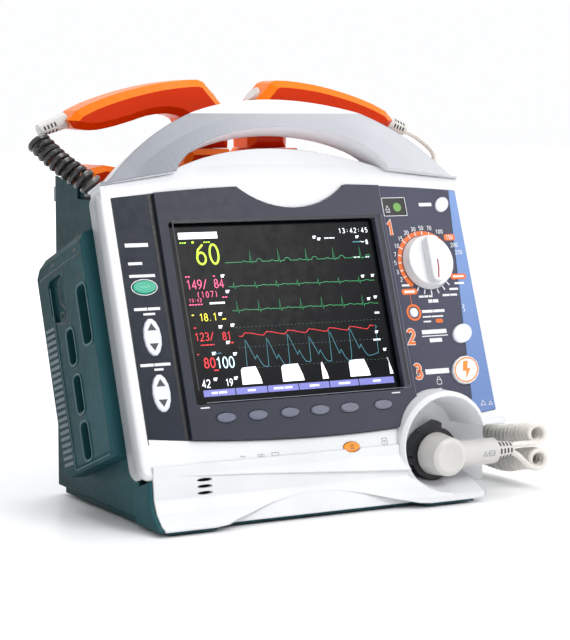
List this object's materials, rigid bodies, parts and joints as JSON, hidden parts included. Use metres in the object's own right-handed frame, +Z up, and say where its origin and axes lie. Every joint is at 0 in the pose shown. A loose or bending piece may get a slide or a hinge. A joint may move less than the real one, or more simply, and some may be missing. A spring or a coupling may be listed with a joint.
{
  "type": "portable defibrillator",
  "caption": "Portable defibrillator monitor with carry handle, tilted display, energy dial and two corded hand paddles resting on a top tray.",
  "frame": {"origin": "middle of the footprint's box on the floor, leaving out the paddle cords and their plug", "axes": "+X to the operator's right, +Y towards the machine's back, +Z up"},
  "size_m": [0.3455, 0.177, 0.2881],
  "materials": {
    "white_case": "fine satin texture",
    "teal_case": "fine satin texture",
    "slate_panel": "smooth satin",
    "charcoal_panel": "smooth satin",
    "blue_stripe": "smooth satin",
    "orange_paddle": "semi-gloss",
    "black_plastic": "satin",
    "black_rubber": "matt",
    "display_glass": "polished",
    "steel": "brushed",
    "green_key": "satin",
    "pale_key": "satin",
    "cord_jacket": "satin",
    "warm_grey_plastic": "satin",
    "grey_tray": "satin",
    "blue_key": "satin",
    "circuit_board": "circuit board lacquer"
  },
  "bodies": {
    "case": {"left_panel": "slate_panel", "display_bezel": "charcoal_panel", "right_panel": "slate_panel", "edge_stripe": "blue_stripe", "indicator_window": "display_glass", "display_glass": "display_glass", "lcd_module": "steel", "rotary_switch": "steel", "front_case": "white_case", "carry_handle": "white_case", "rear_case": "teal_case", "base_pan": "teal_case", "foot_front_left": "black_rubber", "foot_front_right": "black_rubber", "foot_rear_left": "black_rubber", "foot_rear_right": "black_rubber", "connector_pod": "teal_case", "socket_insert": "black_plastic", "plug_body": "warm_grey_plastic", "plug_relief": "warm_grey_plastic", "paddle_tray": "grey_tray", "test_plate_left": "steel", "test_plate_right": "steel", "main_board": "circuit_board", "high_voltage_board": "circuit_board", "hv_capacitor": "steel", "speaker": "black_plastic", "battery_pack": "black_rubber", "mains_inlet": "black_plastic", "left_cord": "cord_jacket", "right_cord": "cord_jacket", "left_lead": "cord_jacket", "right_lead": "cord_jacket", "right_paddle_lead": "cord_jacket"},
    "soft_key_1": {"soft_key_1": "blue_key"},
    "soft_key_2": {"soft_key_2": "blue_key"},
    "soft_key_3": {"soft_key_3": "blue_key"},
    "soft_key_4": {"soft_key_4": "blue_key"},
    "soft_key_5": {"soft_key_5": "blue_key"},
    "soft_key_6": {"soft_key_6": "blue_key"},
    "start_stop_key": {"start_stop_key": "green_key"},
    "sync_key": {"sync_key": "pale_key"},
    "child_mode_key": {"child_mode_key": "orange_paddle"},
    "charge_key": {"charge_key": "pale_key"},
    "shock_key": {"shock_key": "white_case"},
    "event_key": {"event_key": "orange_paddle"},
    "rate_rocker": {"rate_rocker": "pale_key"},
    "output_rocker": {"output_rocker": "pale_key"},
    "energy_dial": {"energy_dial": "white_case"},
    "lock_ring": {"lock_ring": "black_plastic"},
    "left_paddle": {"left_paddle_base": "orange_paddle", "left_paddle_grip": "orange_paddle", "left_paddle_electrode": "steel", "left_paddle_relief": "warm_grey_plastic"},
    "left_paddle_button": {"left_paddle_button": "warm_grey_plastic"},
    "right_paddle": {"right_paddle_base": "orange_paddle", "right_paddle_grip": "orange_paddle", "right_paddle_electrode": "steel", "right_paddle_relief": "warm_grey_plastic"},
    "right_paddle_button": {"right_paddle_button": "warm_grey_plastic"}
  },
  "joints": [
    {"name": "soft_key_1_press", "type": "slide", "parent": "case", "child": "soft_key_1", "axis": [0, 0.9426, -0.3338], "range_m": [0, 0.001], "stiffness_N_per_m": 600},
    {"name": "soft_key_2_press", "type": "slide", "parent": "case", "child": "soft_key_2", "axis": [0, 0.9426, -0.3338], "range_m": [0, 0.001], "stiffness_N_per_m": 600},
    {"name": "soft_key_3_press", "type": "slide", "parent": "case", "child": "soft_key_3", "axis": [0, 0.9426, -0.3338], "range_m": [0, 0.001], "stiffness_N_per_m": 600},
    {"name": "soft_key_4_press", "type": "slide", "parent": "case", "child": "soft_key_4", "axis": [0, 0.9426, -0.3338], "range_m": [0, 0.001], "stiffness_N_per_m": 600},
    {"name": "soft_key_5_press", "type": "slide", "parent": "case", "child": "soft_key_5", "axis": [0, 0.9426, -0.3338], "range_m": [0, 0.001], "stiffness_N_per_m": 600},
    {"name": "soft_key_6_press", "type": "slide", "parent": "case", "child": "soft_key_6", "axis": [0, 0.9426, -0.3338], "range_m": [0, 0.001], "stiffness_N_per_m": 600},
    {"name": "start_stop_key_press", "type": "slide", "parent": "case", "child": "start_stop_key", "axis": [0, 0.9426, -0.3338], "range_m": [0, 0.001], "stiffness_N_per_m": 600},
    {"name": "sync_key_press", "type": "slide", "parent": "case", "child": "sync_key", "axis": [0, 0.9426, -0.3338], "range_m": [0, 0.001], "stiffness_N_per_m": 600},
    {"name": "child_mode_key_press", "type": "slide", "parent": "case", "child": "child_mode_key", "axis": [0, 0.9426, -0.3338], "range_m": [0, 0.001], "stiffness_N_per_m": 600},
    {"name": "charge_key_press", "type": "slide", "parent": "case", "child": "charge_key", "axis": [0, 0.9426, -0.3338], "range_m": [0, 0.001], "stiffness_N_per_m": 600},
    {"name": "shock_key_press", "type": "slide", "parent": "case", "child": "shock_key", "axis": [0, 0.9426, -0.3338], "range_m": [0, 0.0015], "stiffness_N_per_m": 600},
    {"name": "event_key_press", "type": "slide", "parent": "case", "child": "event_key", "axis": [0, 0.9426, -0.3338], "range_m": [0, 0.001], "stiffness_N_per_m": 600},
    {"name": "rate_rocker_rock", "type": "hinge", "parent": "case", "child": "rate_rocker", "pos_m": [-0.1157, -0.04027, 0.12112], "axis": [1, 0, 0], "range_deg": [-3, 3], "stiffness_Nm_per_rad": 0.5},
    {"name": "output_rocker_rock", "type": "hinge", "parent": "case", "child": "output_rocker", "pos_m": [-0.1155, -0.05262, 0.08624], "axis": [1, 0, 0], "range_deg": [-3, 3], "stiffness_Nm_per_rad": 0.5},
    {"name": "energy_dial_turn", "type": "hinge", "parent": "case", "child": "energy_dial", "pos_m": [0.1035, -0.02639, 0.16033], "axis": [0, -0.9426, 0.3338], "range_deg": [-150, 150]},
    {"name": "lock_ring_turn", "type": "hinge", "parent": "case", "child": "lock_ring", "pos_m": [0.0926, -0.0505, 0.0305], "axis": [0, 1, 0], "range_deg": [0, 40]},
    {"name": "left_paddle_lift", "type": "slide", "parent": "case", "child": "left_paddle", "axis": [0, 0, 1], "range_m": [0, 0.06]},
    {"name": "left_paddle_button_press", "type": "slide", "parent": "left_paddle", "child": "left_paddle_button", "axis": [-0.7311, 0, -0.6822], "range_m": [0, 0.002], "stiffness_N_per_m": 800},
    {"name": "right_paddle_lift", "type": "slide", "parent": "case", "child": "right_paddle", "axis": [0, 0, 1], "range_m": [0, 0.06]},
    {"name": "right_paddle_button_press", "type": "slide", "parent": "right_paddle", "child": "right_paddle_button", "axis": [0.7311, 0, -0.6822], "range_m": [0, 0.002], "stiffness_N_per_m": 800}
  ]
}
